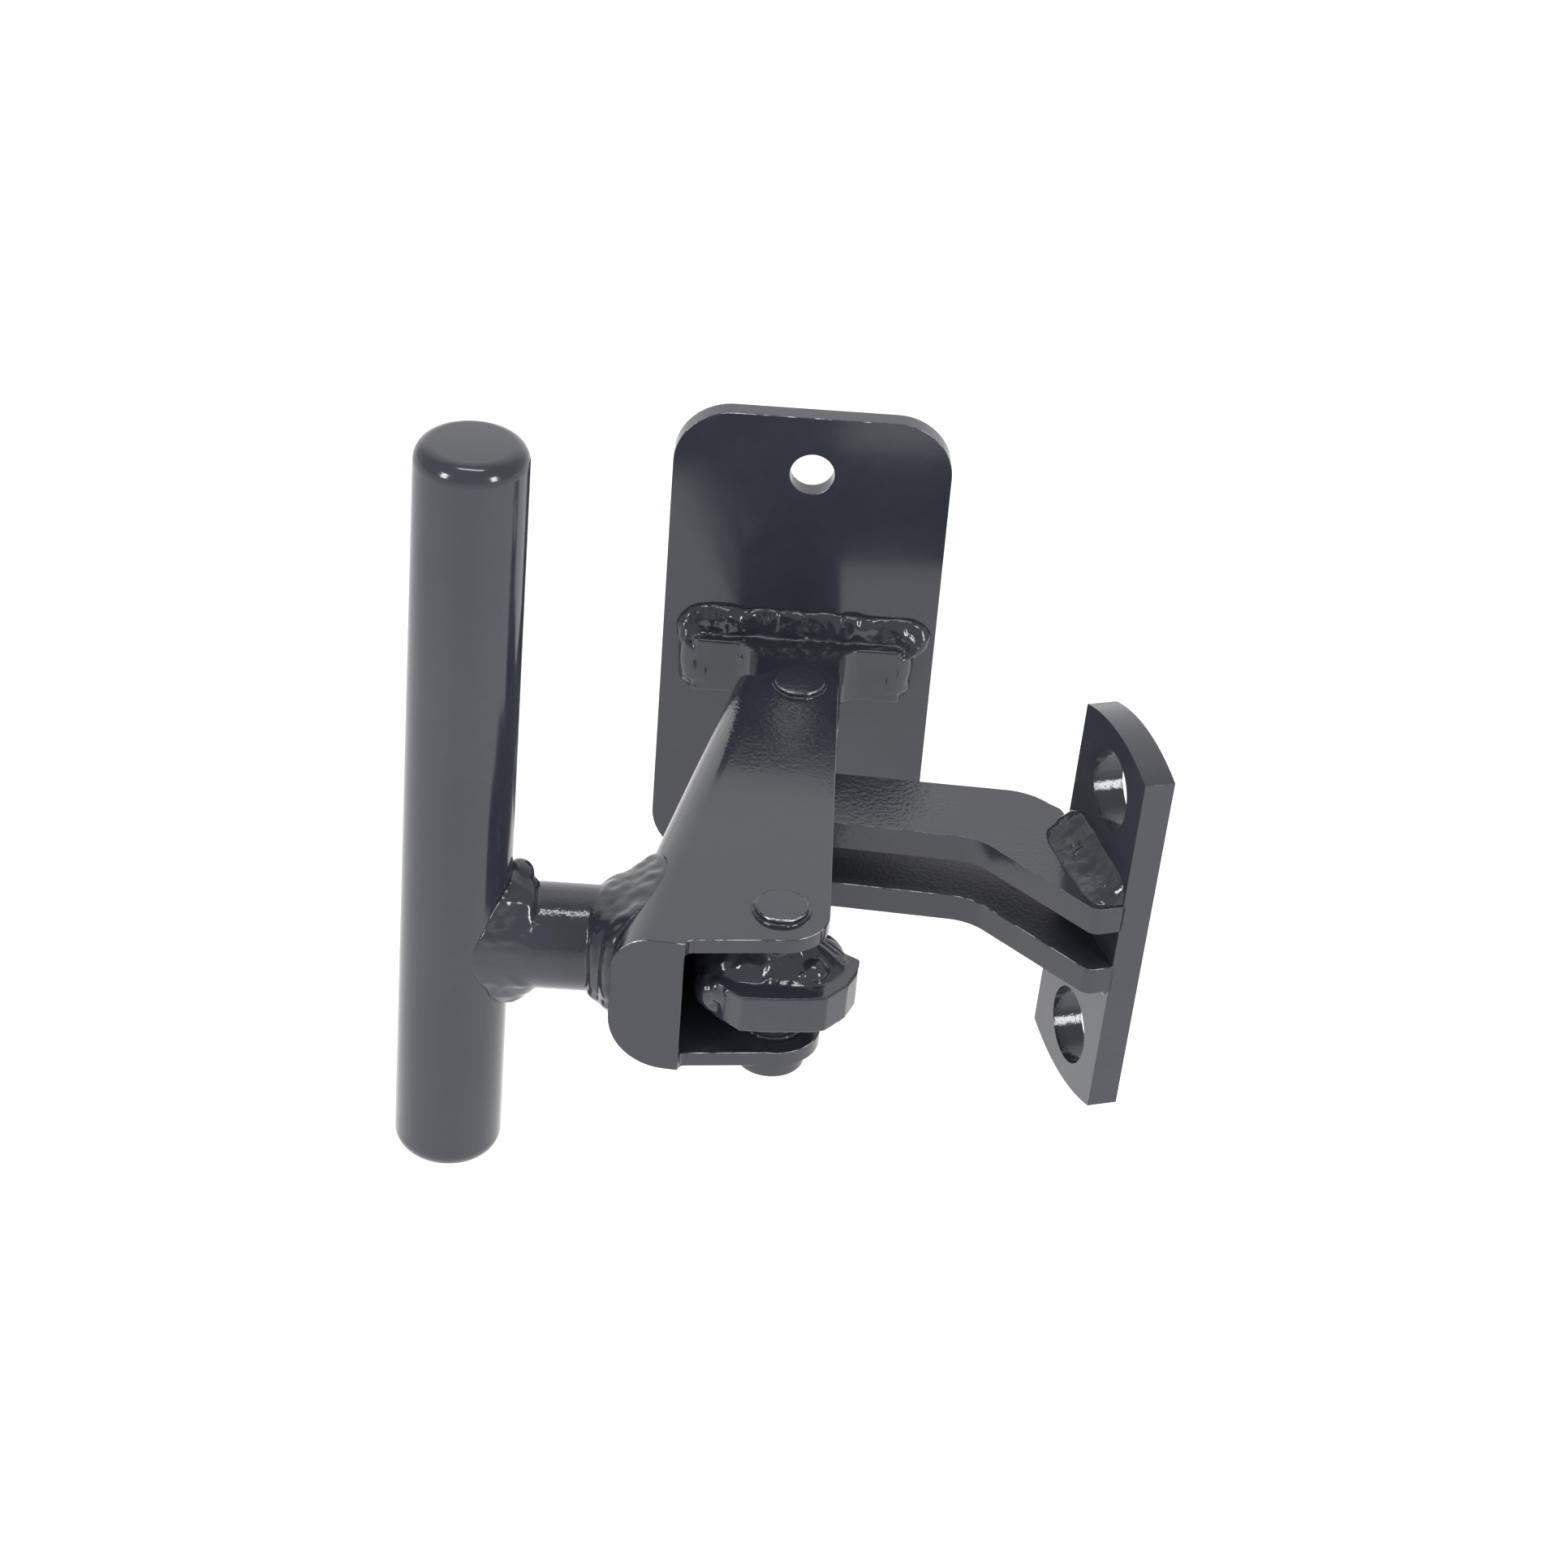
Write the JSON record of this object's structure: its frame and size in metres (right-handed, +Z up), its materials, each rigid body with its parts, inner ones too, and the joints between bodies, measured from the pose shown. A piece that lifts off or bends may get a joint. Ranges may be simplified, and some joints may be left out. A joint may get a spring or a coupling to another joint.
{
  "type": "stair gate latch",
  "caption": "Over-centre toggle latch: wall plate with a lug, a swinging channel lever with an upright bar handle, and a dog-legged link ending in a strike plate.",
  "frame": {"origin": "centre of the base plate's back face, where it bolts to the post or wall", "axes": "+Z up along both pins, +Y from the operator into the wall, +X to the operator's right, towards the strike plate"},
  "size_m": [0.172, 0.1551, 0.1889],
  "materials": {
    "plate": "gloss anthracite paint with fine orange peel",
    "weld": "gloss anthracite paint over rippled weld",
    "pin": "gloss anthracite paint"
  },
  "bodies": {
    "base": {"base_plate": "plate", "base_lug": "plate", "lug_weld": "weld", "lug_sleeve": "pin"},
    "lever": {"lever_clevis": "plate", "rear_pin": "pin", "rear_washer": "pin", "front_pin": "pin", "front_washer": "pin", "handle_bar": "plate", "handle_stub": "plate", "handle_weld": "weld", "stub_weld": "weld"},
    "link": {"link_eye": "plate", "eye_sleeve": "pin", "eye_weld": "weld", "link_bar_upper": "plate", "link_bar_lower": "plate", "shank_weld_upper": "weld", "shank_weld_lower": "weld", "strike_plate": "plate", "strike_weld_upper": "weld", "strike_weld_lower": "weld"}
  },
  "joints": [
    {"name": "lever_pivot", "type": "hinge", "parent": "base", "child": "lever", "pos_m": [0, -0.045, -0.0032], "axis": [0, 0, 1], "range_deg": [-10, 70]},
    {"name": "link_pivot", "type": "hinge", "parent": "lever", "child": "link", "pos_m": [-0.0027, -0.1386, -0.0032], "axis": [0, 0, 1], "range_deg": [-100, 3]}
  ]
}
